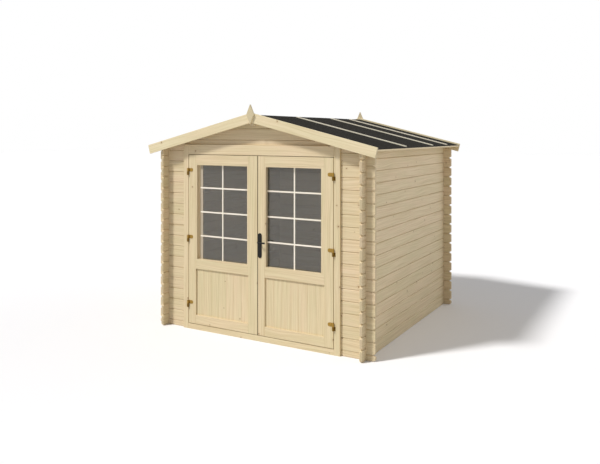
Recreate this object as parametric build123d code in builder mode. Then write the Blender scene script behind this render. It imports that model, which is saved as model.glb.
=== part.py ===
from build123d import *
import os
from math import cos, radians, sin, tan

# Wooden garden shed of interlocking logs, with a gable roof and a pair of glazed doors in its front gable.
# Millimetres. +X is to the right of the doors, +Y to the back, +Z up. The origin is on the ground, in the
# middle of the walls.

os.makedirs("parts", exist_ok=True)

# Walls
log_thickness = 28
log_height = 114  # also the rise from row to row
log_chamfer = 6  # along the long edges of every log
side_rows = 17  # whole logs in each side wall
wall_width = 2356  # left outer face to right outer face
wall_depth = 2320  # front outer face to back outer face
log_end = 90  # how far a log runs past the outer face of the wall it crosses
log_end_chamfer = 9  # round the end of every log
notch_play = 0.25  # on each side of a log in the notch that takes it

# Door frame
door_rows = 16  # log rows that stop at the doorway, over the half log at the ground
frame_width = 1850
jamb_width = 63.5
head_height = 103
head_lap = 64  # head board above the foot of the first log that passes over it
sill_height = 55
frame_proud = 23  # frame past the faces of the logs, outside and inside
groove_depth = 30  # groove in the frame that takes the ends of the logs
groove_play = 0.3  # on each face of a log in the groove
groove_bottom_play = 2
stop_width = 14  # lip behind the leaves
stop_gap = 5  # leaf to lip

# Door leaves
leaf_thickness = 45
leaf_gap = 5.5  # leaf to frame
meeting_gap = 7.5  # leaf to leaf
meeting_offset = 15.75  # middle of the meeting gap, right of the doorway's middle
outer_stile_width = 95
opening_inset = 98.5  # doorway's middle to the near side of each leaf's panel and glass
top_rail_height = 91
middle_rail_height = 98
bottom_rail_height = 95
panel_height = 484
panel_thickness = 16
panel_set_back = 12
panel_tongue = 10  # panel inside the grooves of the stiles and rails
glass_thickness = 4
glass_set_back = 36
glass_tongue = 7
tongue_play = 1  # at the bottom of the grooves

# Hinges
hinge_height_shares = (0.115, 0.503, 0.9)  # of the leaf's height
barrel_diameter = 20
knuckle_height = 36.5
knuckle_play = 0.3
hinge_pin_diameter = 8
hinge_pin_length = 26
hinge_pin_play = 0.1
strap_length = 60
strap_height = 36
strap_corner = 12
strap_thickness = 3
lug_length = 18
turned_sides = 16  # facets round the knuckles and the lever's necks
pin_sides = 8

# Lever handle
plate_width = 42
plate_height = 245
plate_thickness = 7
plate_end_radius = 20
plate_from_edge = 23.5  # middle of the plate to the leaf's meeting edge
plate_middle_height = 890  # above the foot of the leaf
lever_above_middle = 36  # lever's axis above the middle of the plate
neck_diameter = 16
neck_play = 0.3
lever_stand_off = 45  # plate to the middle of the grip
lever_reach = 92
grip_height = 18
grip_depth = 11
spindle_size = 8
spindle_bore = 20

# Roof
roof_angle = 13.8
deck_thickness = 15
eave_overhang = 148
gable_overhang = 98  # deck past the outer faces of the front and back walls
felt_thickness = 3
batten_width = 35
batten_thickness = 13
batten_from_ridge = 40
batten_from_eave = 30
batten_place_shares = (0.317, 0.641, 0.844)  # of the deck's length, from the front
barge_width = 95
barge_thickness = 20
barge_above_felt = 17.5
barge_past_eave = 4.5
finial_width = 86
finial_height = 196
finial_thickness = 20
purlin_width = 44
purlin_height = 87
purlin_bearing = 20  # least timber under the purlin in the top log of a gable

# Floor
joist_count = 5
joist_width = 45
joist_height = 34
floor_thickness = 18
floor_play = 0.5

# Overrun of every cut past the solid that it cuts
overrun = 50

# Places worked out from the sizes above
side_x = wall_width / 2
front_y = -wall_depth / 2
log_side_x = side_x - log_thickness / 2
log_front_y = front_y + log_thickness / 2
side_log_length = wall_depth + 2 * log_end
cross_log_length = wall_width + 2 * log_end
half_log_height = log_height / 2
notch_depth = log_height / 4
notch_width = log_thickness + 2 * notch_play
eave_z = side_rows * log_height

slope = tan(radians(roof_angle))
slope_sin = sin(radians(roof_angle))
slope_cos = cos(radians(roof_angle))
apex_z = eave_z + side_x * slope
eave_x = side_x + eave_overhang
deck_y = wall_depth / 2 + gable_overhang

frame_x = frame_width / 2
opening_x = frame_x - jamb_width
groove_x = frame_x - groove_depth
frame_front_y = front_y - frame_proud
frame_back_y = front_y + log_thickness + frame_proud
frame_depth = frame_back_y - frame_front_y
groove_width = log_thickness + 2 * groove_play
frame_top = half_log_height + door_rows * log_height + head_lap
head_z = frame_top - head_height
leaf_back_y = frame_front_y + leaf_thickness
stop_y = leaf_back_y + stop_gap
stop_depth = frame_back_y - stop_y

leaf_x = opening_x - leaf_gap
leaf_foot = sill_height + leaf_gap
leaf_head = head_z - leaf_gap
leaf_height = leaf_head - leaf_foot
stile_x = leaf_x - outer_stile_width
panel_foot = leaf_foot + bottom_rail_height
middle_rail_foot = panel_foot + panel_height
glass_foot = middle_rail_foot + middle_rail_height
glass_head = leaf_head - top_rail_height

barrel_radius = barrel_diameter / 2
hinge_x = (opening_x + leaf_x) / 2
hinge_y = frame_front_y - barrel_radius - knuckle_play
plate_x = meeting_offset + meeting_gap / 2 + plate_from_edge
plate_z = leaf_foot + plate_middle_height
lever_z = plate_z + lever_above_middle


def write_node(node, name):
    """Label a finished node and write it as one STEP file."""
    node.part.label = name
    export_step(node.part, f"parts/{name}.step")


def roof_z(x):
    """Height of the roof's underside at a distance from the ridge."""
    return apex_z - abs(x) * slope


def slope_point(side, x, lift):
    """Point in the XZ plane: x out from the ridge on the roof's underside, raised square to the slope."""
    return (side * (x + lift * slope_sin), roof_z(x) + lift * slope_cos)


def ridge_point(lift):
    """Point over the ridge, on the line that runs lift above the roof's underside."""
    return (0, apex_z + lift / slope_cos)


def slope_outline(side, far_x, low, high):
    """Outline of a board that runs from the ridge down one slope, between two heights above the underside."""
    return [
        ridge_point(low),
        slope_point(side, far_x, low),
        slope_point(side, far_x, high),
        ridge_point(high),
    ]


def add_prism(outline, near_y, far_y, mode=Mode.ADD):
    """Carry an outline in the XZ plane from one Y to another."""
    with BuildSketch(Plane.XZ.offset(-near_y)) as section:
        with BuildLine():
            Polyline(*outline, close=True)
        make_face()
    extrude(section.sketch, amount=near_y - far_y, mode=mode)


def add_block(low, high, mode=Mode.ADD):
    """Box between two opposite corners."""
    sizes = [b - a for a, b in zip(low, high)]
    with Locations(low):
        Box(*sizes, align=Align.MIN, mode=mode)


def cut_above_roof():
    """Take away what stands above the underside of the roof."""
    reach = eave_x + overrun
    sky = apex_z + log_height
    outline = [
        slope_point(-1, reach, 0),
        ridge_point(0),
        slope_point(1, reach, 0),
        (reach, sky),
        (-reach, sky),
    ]
    add_prism(outline, -deck_y, deck_y, Mode.SUBTRACT)


def cut_purlin_seat():
    """Slot in the top of a gable that takes the ridge purlin."""
    half = purlin_width / 2 + notch_play
    add_block((-half, -deck_y, purlin_foot), (half, deck_y, apex_z + overrun), Mode.SUBTRACT)


def log_section(plane, height):
    """Section of a log that stands on the plane's x axis, its four long edges chamfered."""
    with BuildSketch(plane) as section:
        with Locations((0, height / 2)):
            Rectangle(log_thickness, height)
        chamfer(section.vertices(), log_chamfer)
    return section.sketch


def cut_notches(places, width_x, width_y):
    """Corner notches, each a quarter of a log deep, with the face of the log at the middle of its cutter."""
    with Locations(*places):
        Box(width_x, width_y, 2 * notch_depth, mode=Mode.SUBTRACT)


def add_side_log(height):
    """Log along Y on the ground, notched top and bottom at both corners."""
    extrude(log_section(Plane.XZ, height), amount=side_log_length / 2, both=True)
    ends = faces().sort_by(Axis.Y)
    chamfer(ends[0].edges() + ends[-1].edges(), log_end_chamfer)
    places = [(0, end * log_front_y, z) for end in (-1, 1) for z in (0, log_height)]
    cut_notches(places, log_thickness + overrun, notch_width)


def add_cross_log(height, notched_z):
    """Log along X on the ground, notched at both corners at the given heights."""
    extrude(log_section(Plane.YZ, height), amount=cross_log_length / 2, both=True)
    ends = faces().sort_by(Axis.X)
    chamfer(ends[0].edges() + ends[-1].edges(), log_end_chamfer)
    places = [(end * log_side_x, 0, z) for end in (-1, 1) for z in notched_z]
    cut_notches(places, notch_width, log_thickness + overrun)


def add_short_log(side, height, notched_z):
    """Log along X on the ground, from the doorway to one corner."""
    near = groove_x + groove_bottom_play
    far = side_x + log_end
    start = near if side > 0 else -far
    extrude(log_section(Plane.YZ.offset(start), height), amount=far - near)
    corner_end = faces().sort_by(Axis.X)[-1 if side > 0 else 0]
    chamfer(corner_end.edges(), log_end_chamfer)
    cut_notches([(side * log_side_x, 0, z) for z in notched_z], notch_width, log_thickness + overrun)


def row_foot(row):
    """Height of the foot of a front or back log. Row -1 is the half log on the ground."""
    return half_log_height + row * log_height if row >= 0 else 0


# The top log of a gable is the last that leaves enough timber under the ridge purlin
purlin_foot = apex_z - purlin_height
gable_top_row = int((purlin_foot - purlin_bearing - half_log_height) / log_height)

# Log patterns that the walls repeat
with BuildPart() as side_log:
    add_side_log(log_height)

with BuildPart() as side_top_log:
    add_side_log(log_height + 2 * log_thickness * slope + log_chamfer)

with BuildPart() as cross_log:
    add_cross_log(log_height, (0, log_height))

with BuildPart() as cross_half_log:
    add_cross_log(half_log_height, (half_log_height,))

with BuildPart() as gable_top_log:
    add_cross_log(apex_z - row_foot(gable_top_row) + log_chamfer, (0, log_height))

# Side walls, every other log in a node of its own
parities = {"even": 0, "odd": 1}
sides = {"left": -1, "right": 1}
for side_name, side in sides.items():
    for parity_name, parity in parities.items():
        rows = range(parity, side_rows, 2)
        top_row = side_rows - 1
        with BuildPart() as side_wall_logs:
            with Locations(*[(side * log_side_x, 0, row * log_height) for row in rows if row < top_row]):
                add(side_log.part)
            if top_row in rows:
                with Locations((side * log_side_x, 0, top_row * log_height)):
                    add(side_top_log.part)
                cut_above_roof()
        write_node(side_wall_logs, f"{side_name}_wall_{parity_name}_logs")

# Back wall, from the half log at the ground to the top of the gable
for parity_name, parity in parities.items():
    rows = range(parity, gable_top_row, 2)
    with BuildPart() as back_wall_logs:
        with Locations(*[(0, -log_front_y, row_foot(row)) for row in rows]):
            add(cross_log.part)
        if parity_name == "odd":
            with Locations((0, -log_front_y, 0)):
                add(cross_half_log.part)
        if gable_top_row % 2 == parity:
            with Locations((0, -log_front_y, row_foot(gable_top_row))):
                add(gable_top_log.part)
            cut_purlin_seat()
        cut_above_roof()
    write_node(back_wall_logs, f"back_wall_{parity_name}_logs")

# Front wall, left and right of the doorway
for side_name, side in sides.items():
    with BuildPart() as short_log:
        add_short_log(side, log_height, (0, log_height))
    with BuildPart() as short_half_log:
        add_short_log(side, half_log_height, (half_log_height,))
    for parity_name, parity in parities.items():
        rows = range(parity, door_rows, 2)
        with BuildPart() as front_wall_logs:
            with Locations(*[(0, log_front_y, row_foot(row)) for row in rows]):
                add(short_log.part)
            if parity_name == "odd":
                with Locations((0, log_front_y, 0)):
                    add(short_half_log.part)
        write_node(front_wall_logs, f"front_wall_{side_name}_{parity_name}_logs")

# Front gable, over the doorway
for row in range(door_rows, gable_top_row + 1):
    with BuildPart() as gable_log:
        with Locations((0, log_front_y, row_foot(row))):
            add(gable_top_log.part if row == gable_top_row else cross_log.part)
        cut_above_roof()
        if row == gable_top_row:
            cut_purlin_seat()
        if row == door_rows:
            recess_x = groove_x + groove_bottom_play
            recess_foot = row_foot(row) - overrun
            recess_front_y = frame_front_y - overrun
            recess_back_y = frame_back_y + overrun
            head_recess_z = frame_top - groove_depth + groove_bottom_play
            add_block(
                (-opening_x, recess_front_y, recess_foot),
                (opening_x, recess_back_y, head_recess_z),
                Mode.SUBTRACT,
            )
            for low_x, high_x in ((-recess_x, -opening_x), (opening_x, recess_x)):
                add_block(
                    (low_x, recess_front_y, recess_foot),
                    (high_x, recess_back_y, frame_top),
                    Mode.SUBTRACT,
                )
    write_node(gable_log, f"front_gable_log_{row - door_rows + 1}")

# Door frame: jambs grooved over the log ends, with a lip behind the leaves
for side_name, side in sides.items():
    with BuildPart() as door_jamb:
        with BuildSketch(Plane.XY) as jamb_section:
            with Locations((side * (frame_x - jamb_width / 2), (frame_front_y + frame_back_y) / 2)):
                Rectangle(jamb_width, frame_depth)
            with Locations((side * (frame_x - groove_depth / 2), log_front_y)):
                Rectangle(groove_depth, groove_width, mode=Mode.SUBTRACT)
        extrude(amount=frame_top)
        with BuildSketch(Plane.XY.offset(sill_height)) as lip_section:
            with Locations((side * (opening_x - stop_width / 2), (stop_y + frame_back_y) / 2)):
                Rectangle(stop_width, stop_depth)
        extrude(amount=head_z - sill_height)
    write_node(door_jamb, f"{side_name}_door_jamb")

with BuildPart() as door_head:
    add_block((-opening_x, frame_front_y, head_z), (opening_x, frame_back_y, frame_top))
    add_block(
        (-opening_x, log_front_y - groove_width / 2, frame_top - groove_depth),
        (opening_x, log_front_y + groove_width / 2, frame_top + overrun),
        Mode.SUBTRACT,
    )
    add_block(
        (stop_width - opening_x, stop_y, head_z - stop_width),
        (opening_x - stop_width, frame_back_y, head_z),
    )
write_node(door_head, "door_head")

with BuildPart() as door_sill:
    add_block((-opening_x, frame_front_y, 0), (opening_x, frame_back_y, sill_height))
    add_block(
        (stop_width - opening_x, stop_y, sill_height),
        (opening_x - stop_width, frame_back_y, sill_height + stop_width),
    )
write_node(door_sill, "door_sill")

panel_heights = (panel_foot, middle_rail_foot)
glass_heights = (glass_foot, glass_head)


def add_sheet(opening, heights, set_back, thickness, edge, mode=Mode.ADD):
    """Sheet in a leaf's opening, with its edges this far inside the stiles and rails round it."""
    front = frame_front_y + set_back
    add_block(
        (opening[0] - edge, front, heights[0] - edge),
        (opening[1] + edge, front + thickness, heights[1] + edge),
        mode,
    )


def cut_sheet_grooves(opening):
    """Grooves in the stiles and rails that take a leaf's panel and glass."""
    panel_edge = panel_tongue + tongue_play
    glass_edge = glass_tongue + tongue_play
    add_sheet(opening, panel_heights, panel_set_back, panel_thickness, panel_edge, Mode.SUBTRACT)
    add_sheet(opening, glass_heights, glass_set_back, glass_thickness, glass_edge, Mode.SUBTRACT)


# Door leaves, with the lever's bores through the right leaf's meeting stile
meeting_edges = {"left": meeting_offset - meeting_gap / 2, "right": meeting_offset + meeting_gap / 2}
for side_name, side in sides.items():
    outer_stile = sorted((side * leaf_x, side * stile_x))
    meeting_stile = sorted((meeting_edges[side_name], side * opening_inset))
    opening = sorted((side * opening_inset, side * stile_x))

    with BuildPart() as door_stiles:
        for low_x, high_x in (outer_stile, meeting_stile):
            add_block((low_x, frame_front_y, leaf_foot), (high_x, leaf_back_y, leaf_head))
        cut_sheet_grooves(opening)
        if side_name == "right":
            with BuildSketch(Plane.XZ.offset(-frame_front_y)) as bore_section:
                with Locations((plate_x, lever_z)):
                    Circle(spindle_bore / 2)
            extrude(amount=-leaf_thickness, mode=Mode.SUBTRACT)
    write_node(door_stiles, f"{side_name}_door_stiles")

    with BuildPart() as door_rails:
        for foot, head in (
            (leaf_foot, panel_foot),
            (middle_rail_foot, glass_foot),
            (glass_head, leaf_head),
        ):
            add_block((opening[0], frame_front_y, foot), (opening[1], leaf_back_y, head))
        cut_sheet_grooves(opening)
    write_node(door_rails, f"{side_name}_door_rails")

    with BuildPart() as door_panel:
        add_sheet(opening, panel_heights, panel_set_back, panel_thickness, panel_tongue)
    write_node(door_panel, f"{side_name}_door_panel")

    with BuildPart() as door_glass:
        add_sheet(opening, glass_heights, glass_set_back, glass_thickness, glass_tongue)
    write_node(door_glass, f"{side_name}_door_glass")

# Hinges: strap and upper knuckle on the leaf, lower knuckle, pin and lug on the frame
hinge_heights = [leaf_foot + share * leaf_height for share in hinge_height_shares]
for side_name, side in sides.items():
    with BuildPart() as hinge_straps:
        for z in hinge_heights:
            knuckle_foot = z + knuckle_play / 2
            with BuildSketch(Plane.XY.offset(knuckle_foot)) as knuckle_section:
                with Locations((side * hinge_x, hinge_y)):
                    RegularPolygon(barrel_radius, turned_sides)
            extrude(amount=knuckle_height)
            with BuildSketch(Plane.XZ.offset(-frame_front_y)) as strap_outline:
                with Locations((side * (hinge_x - strap_length / 2), knuckle_foot + strap_height / 2)):
                    Rectangle(strap_length, strap_height)
                chamfer(strap_outline.vertices().group_by(Axis.X)[0 if side > 0 else -1], strap_corner)
            extrude(amount=strap_thickness)
            with BuildSketch(Plane.XY.offset(knuckle_foot)) as bore_section:
                with Locations((side * hinge_x, hinge_y)):
                    RegularPolygon(hinge_pin_diameter / 2 + hinge_pin_play, pin_sides, major_radius=False)
            extrude(amount=hinge_pin_length + hinge_pin_play, mode=Mode.SUBTRACT)
    write_node(hinge_straps, f"{side_name}_hinge_straps")

    with BuildPart() as hinge_pins:
        for z in hinge_heights:
            knuckle_head = z - knuckle_play / 2
            with BuildSketch(Plane.XY.offset(knuckle_head)) as knuckle_section:
                with Locations((side * hinge_x, hinge_y)):
                    RegularPolygon(barrel_radius, turned_sides)
            extrude(amount=-knuckle_height)
            with BuildSketch(Plane.XY.offset(knuckle_head)) as pin_section:
                with Locations((side * hinge_x, hinge_y)):
                    RegularPolygon(hinge_pin_diameter / 2, pin_sides)
            extrude(amount=hinge_pin_length)
            low_x, high_x = sorted((side * opening_x, side * (opening_x + lug_length)))
            add_block(
                (low_x, frame_front_y - strap_thickness, knuckle_head - knuckle_height),
                (high_x, frame_front_y, knuckle_head),
            )
            low_x, high_x = sorted((side * hinge_x, side * opening_x))
            add_block(
                (low_x, frame_front_y - strap_thickness, knuckle_head - knuckle_height),
                (high_x, frame_front_y - knuckle_play, knuckle_head),
            )
    write_node(hinge_pins, f"{side_name}_hinge_pins")

# Handle: a plate on each face of the right leaf, bored for the lever's necks
with BuildPart() as handle_plates:
    for face_y, outward in ((frame_front_y, 1), (leaf_back_y, -1)):
        with BuildSketch(Plane.XZ.offset(-face_y)) as plate_outline:
            with Locations((plate_x, plate_z)):
                Rectangle(plate_width, plate_height)
            fillet(plate_outline.vertices(), plate_end_radius)
            with Locations((plate_x, lever_z)):
                RegularPolygon(
                    neck_diameter / 2 + neck_play, turned_sides, major_radius=False, mode=Mode.SUBTRACT
                )
        extrude(amount=outward * plate_thickness)
write_node(handle_plates, "handle_plates")

# Lever: outer and inner grips on their necks, joined by the spindle
with BuildPart() as door_lever:
    with Locations((plate_x, (frame_front_y + leaf_back_y) / 2, lever_z)):
        Box(spindle_size, leaf_thickness, spindle_size)
    for face_y, outward in ((frame_front_y, 1), (leaf_back_y, -1)):
        with BuildSketch(Plane.XZ.offset(-face_y)) as neck_section:
            with Locations((plate_x, lever_z)):
                RegularPolygon(neck_diameter / 2, turned_sides)
        extrude(amount=outward * (plate_thickness + lever_stand_off))
        grip_y = face_y - outward * (plate_thickness + lever_stand_off)
        with BuildSketch(Plane.XZ.offset(-grip_y)) as grip_outline:
            grip_run = lever_reach - grip_height / 2
            with Locations((plate_x + grip_run / 2, lever_z)):
                SlotCenterToCenter(grip_run, grip_height)
        extrude(amount=grip_depth / 2, both=True)
write_node(door_lever, "door_lever")

# Roof: purlin, decks, felt and battens
with BuildPart() as ridge_purlin:
    half = purlin_width / 2
    purlin_outline = [
        (-half, purlin_foot),
        (half, purlin_foot),
        (half, roof_z(half)),
        ridge_point(0),
        (-half, roof_z(half)),
    ]
    add_prism(purlin_outline, -deck_y, deck_y)
write_node(ridge_purlin, "ridge_purlin")

felt_top = deck_thickness + felt_thickness
for side_name, side in sides.items():
    with BuildPart() as roof_deck:
        add_prism(slope_outline(side, eave_x, 0, deck_thickness), -deck_y, deck_y)
    write_node(roof_deck, f"{side_name}_roof_deck")

with BuildPart() as roof_felt:
    felt_outline = [
        slope_point(-1, eave_x, deck_thickness),
        ridge_point(deck_thickness),
        slope_point(1, eave_x, deck_thickness),
        slope_point(1, eave_x, felt_top),
        ridge_point(felt_top),
        slope_point(-1, eave_x, felt_top),
    ]
    add_prism(felt_outline, -deck_y, deck_y)
write_node(roof_felt, "roof_felt")

with BuildPart() as roof_battens:
    for side in sides.values():
        batten_outline = [
            slope_point(side, batten_from_ridge, felt_top),
            slope_point(side, eave_x - batten_from_eave, felt_top),
            slope_point(side, eave_x - batten_from_eave, felt_top + batten_thickness),
            slope_point(side, batten_from_ridge, felt_top + batten_thickness),
        ]
        for share in batten_place_shares:
            batten_y = (2 * share - 1) * deck_y
            add_prism(batten_outline, batten_y - batten_width / 2, batten_y + batten_width / 2)
write_node(roof_battens, "roof_battens")

# Barge boards along the front and back gables, and a finial over each apex
barge_top = felt_top + barge_above_felt
barge_x = eave_x + barge_past_eave
for side_name, side in sides.items():
    with BuildPart() as barge_boards:
        for near_y in (-deck_y - barge_thickness, deck_y):
            add_prism(
                slope_outline(side, barge_x, barge_top - barge_width, barge_top),
                near_y,
                near_y + barge_thickness,
            )
    write_node(barge_boards, f"{side_name}_barge_boards")

with BuildPart() as finials:
    finial_z = ridge_point(felt_top)[1]
    finial_outline = [
        (0, finial_z - finial_height / 2),
        (finial_width / 2, finial_z),
        (0, finial_z + finial_height / 2),
        (-finial_width / 2, finial_z),
    ]
    barge_face_y = deck_y + barge_thickness
    for near_y in (-barge_face_y - finial_thickness, barge_face_y):
        add_prism(finial_outline, near_y, near_y + finial_thickness)
write_node(finials, "finials")

# Floor: joists on the ground and boards on them, cut back round the door frame
floor_x = side_x - log_thickness - floor_play
floor_y = wall_depth / 2 - log_thickness - floor_play
floor_front_y = frame_back_y + floor_play
with BuildPart() as floor_joists:
    joist_pitch = (floor_y - floor_front_y - joist_width) / (joist_count - 1)
    for joist in range(joist_count):
        joist_front_y = floor_front_y + joist * joist_pitch
        add_block((-floor_x, joist_front_y, 0), (floor_x, joist_front_y + joist_width, joist_height))
write_node(floor_joists, "floor_joists")

with BuildPart() as floor_boards:
    floor_top = joist_height + floor_thickness
    add_block((-floor_x, -floor_y, joist_height), (floor_x, floor_y, floor_top))
    add_block(
        (-frame_x - floor_play, -floor_y - overrun, joist_height),
        (frame_x + floor_play, floor_front_y, floor_top + overrun),
        Mode.SUBTRACT,
    )
write_node(floor_boards, "floor_boards")
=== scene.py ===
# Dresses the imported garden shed. Every timber is a surface worked out with numpy: an outline with rounded
# arrises, carried along the timber's length, with a grain map in metres and a tone of its own.
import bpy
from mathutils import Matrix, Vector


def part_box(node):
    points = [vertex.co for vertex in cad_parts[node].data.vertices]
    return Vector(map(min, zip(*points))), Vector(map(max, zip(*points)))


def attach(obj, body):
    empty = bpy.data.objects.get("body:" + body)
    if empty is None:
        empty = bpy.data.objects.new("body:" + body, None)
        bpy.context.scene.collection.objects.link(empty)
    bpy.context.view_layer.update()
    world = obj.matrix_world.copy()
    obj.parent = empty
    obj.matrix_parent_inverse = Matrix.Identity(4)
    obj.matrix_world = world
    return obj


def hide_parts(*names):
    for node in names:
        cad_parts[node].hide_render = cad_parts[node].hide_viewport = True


bl_info = {
    "name": "Log garden shed",
    "version": (1, 0, 0),
    "blender": (4, 5, 0),
    "location": "View3D > Sidebar > Shed",
    "description": "Dresses the packed garden shed with logs, boards, glazing, roofing felt and fittings",
    "category": "Object",
}

from functools import partial
from math import cos, pi, radians, sin, tan

import bpy
import numpy as np
from bpy.props import FloatProperty, FloatVectorProperty, IntProperty, PointerProperty
from bpy.types import NodeSocket, Operator, Panel, PropertyGroup

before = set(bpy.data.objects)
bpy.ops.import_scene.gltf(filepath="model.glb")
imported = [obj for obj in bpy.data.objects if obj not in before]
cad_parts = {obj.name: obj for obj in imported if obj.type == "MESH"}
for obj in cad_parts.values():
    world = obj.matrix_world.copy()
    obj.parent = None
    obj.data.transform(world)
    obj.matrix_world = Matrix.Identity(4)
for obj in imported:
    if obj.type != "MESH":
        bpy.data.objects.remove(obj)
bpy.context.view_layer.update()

x_axis, y_axis, z_axis = np.eye(3)
frame_origin = np.zeros(3)
sides = {"left": -1, "right": 1}


def corners_of(node):
    """Lowest and highest corner of a CAD node."""
    return np.array(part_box(node))


# Places read from the frame, in metres
wall_low, wall_high = corners_of("right_wall_odd_logs")
short_low = corners_of("front_wall_right_odd_logs")[0]
jamb_low, jamb_high = corners_of("right_door_jamb")
head_low, head_high = corners_of("door_head")
sill_high = corners_of("door_sill")[1]
purlin_low, purlin_high = corners_of("ridge_purlin")
deck_low, deck_high = corners_of("right_roof_deck")
felt_low, felt_high = corners_of("roof_felt")
barge_low, barge_high = corners_of("right_barge_boards")
finial_low, finial_high = corners_of("finials")
joist_low, joist_high = corners_of("floor_joists")
floor_low, floor_high = corners_of("floor_boards")

log_rise = wall_low[2]
log_thickness = wall_high[0] - wall_low[0]
half_log = log_thickness / 2
wall_x = wall_high[0]
log_end_y = wall_high[1]
log_end_x = corners_of("back_wall_odd_logs")[1][0]
front_y = short_low[1]
cross_x = wall_x - half_log
cross_y = -front_y - half_log
side_rows = round(corners_of("right_wall_even_logs")[1][2] / log_rise)
gable_log_count = 3
gable_foot = corners_of(f"front_gable_log_{gable_log_count}")[0][2]
gable_top_row = round((gable_foot - log_rise / 2) / log_rise)
door_rows = gable_top_row + 1 - gable_log_count
apex_z = purlin_high[2]
purlin_half = (purlin_high[0] - purlin_low[0]) / 2
frame_front_y, frame_back_y = jamb_low[1], jamb_high[1]


def linear(hex_colour):
    """Linear red, green and blue of an sRGB hex colour."""
    shares = np.array([int(hex_colour[place:place + 2], 16) for place in (1, 3, 5)]) / 255
    lit = np.where(shares <= 0.04045, shares / 12.92, ((shares + 0.055) / 1.055) ** 2.4)
    return tuple(float(share) for share in lit)


def length(name, description, default):
    """A length property in metres."""
    return FloatProperty(
        name=name, description=description, default=default, min=0.0, unit="LENGTH", precision=4
    )


def count(name, description, default):
    """A property that counts pieces."""
    return IntProperty(name=name, description=description, default=default, min=1)


def colour(name, description, hex_colour):
    """A colour property with an sRGB hex default."""
    return FloatVectorProperty(
        name=name, description=description, default=linear(hex_colour), size=3, min=0.0, max=1.0,
        subtype="COLOR",
    )


class ShedSizes(PropertyGroup):
    """Sizes of what the dressing adds to the frame."""

    log_chamfer: length("Log chamfer", "Chamfer along the upper edges of a log", 0.006)
    log_foot_rise: length("Log foot rise", "Height of the chamfer along the lower edges of a log", 0.0035)
    log_arris: length("Log arris", "Rounding of a log's edges", 0.0015)
    log_slot: length("Log slot", "Height of the slot between two logs", 0.0013)
    log_slot_depth: length("Log slot depth", "Depth of the slot behind the chamfers", 0.006)
    log_end_run: length("Log end run", "Length of the slants above and below a log's end", 0.025)
    log_end_drop: length("Log end drop", "Depth of the slants above and below a log's end", 0.0145)
    log_end_round: length("Log end rounding", "Rounding at the two sides of a log's end", 0.0045)
    notch_play: length("Notch play", "Play on each side of a log in its notch", 0.00025)
    board_arris: length("Board arris", "Rounding of the edges of planed boards", 0.0025)
    frame_groove: length("Frame groove", "Depth of the groove that takes the log ends", 0.030)
    stop_width: length("Door stop", "Width of the lip behind the leaves", 0.014)
    stop_depth: length("Door stop depth", "Depth of the lip behind the leaves", 0.024)
    panel_joint: length("Panel joint", "Chamfer along the edges of the panel boards", 0.0015)
    panel_tongue: length("Panel tongue", "Panel inside the grooves round it", 0.010)
    panel_set_back: length("Panel set back", "Face of the boards behind the face of the panel", 0.004)
    seal_play: length("Seal play", "Gap between the seal of one leaf and the other leaf", 0.0015)
    seal_set_back: length("Seal set back", "Seal behind the face of the leaves", 0.002)
    seal_depth: length("Seal depth", "Depth of the seal from front to back", 0.012)
    glass_tongue: length("Glass tongue", "Glass inside the grooves round it", 0.007)
    bead_top: length("Top bead", "Width of the bead above the glass", 0.016)
    bead_foot: length("Bottom bead", "Width of the bead below the glass", 0.007)
    bead_set_back: length("Bead set back", "Face of the beads behind the face of the leaf", 0.001)
    bar_width: length("Glazing bar width", "Width of the glazing bars", 0.0155)
    bar_depth: length("Glazing bar depth", "How far the glazing bars stand off the glass", 0.0025)
    roof_angle: FloatProperty(
        name="Roof angle", description="Slope of the roof", default=radians(13.8), min=0.0, subtype="ANGLE"
    )
    deck_thickness: length("Roof board thickness", "Thickness of the roof boards", 0.015)
    felt_thickness: length("Felt thickness", "Thickness of the roofing felt", 0.003)
    batten_width: length("Batten width", "Width of the battens on the felt", 0.029)
    batten_thickness: length("Batten thickness", "Thickness of the battens on the felt", 0.010)
    batten_from_ridge: length("Batten from ridge", "Level distance from the ridge to a batten", 0.040)
    batten_from_eave: length("Batten from eave", "Level distance from a batten to the eave", 0.030)
    barge_width: length("Barge board width", "Width of the barge boards", 0.095)
    barge_above_felt: length("Barge board rise", "How far the barge boards stand over the felt", 0.0175)
    barge_past_eave: length("Barge board overrun", "How far the barge boards run past the eave", 0.0045)
    board_joint: length("Board joint", "Chamfer along the joints of roof and floor boards", 0.003)
    joist_width: length("Joist width", "Width of the joists under the floor", 0.045)
    panel_board_count: count("Panel boards", "Boards in the panel of one door leaf", 7)
    roof_board_count: count("Roof boards", "Boards on one slope of the roof", 14)
    floor_board_count: count("Floor boards", "Boards in the floor", 24)
    joist_count: count("Joists", "Joists under the floor", 5)


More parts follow.
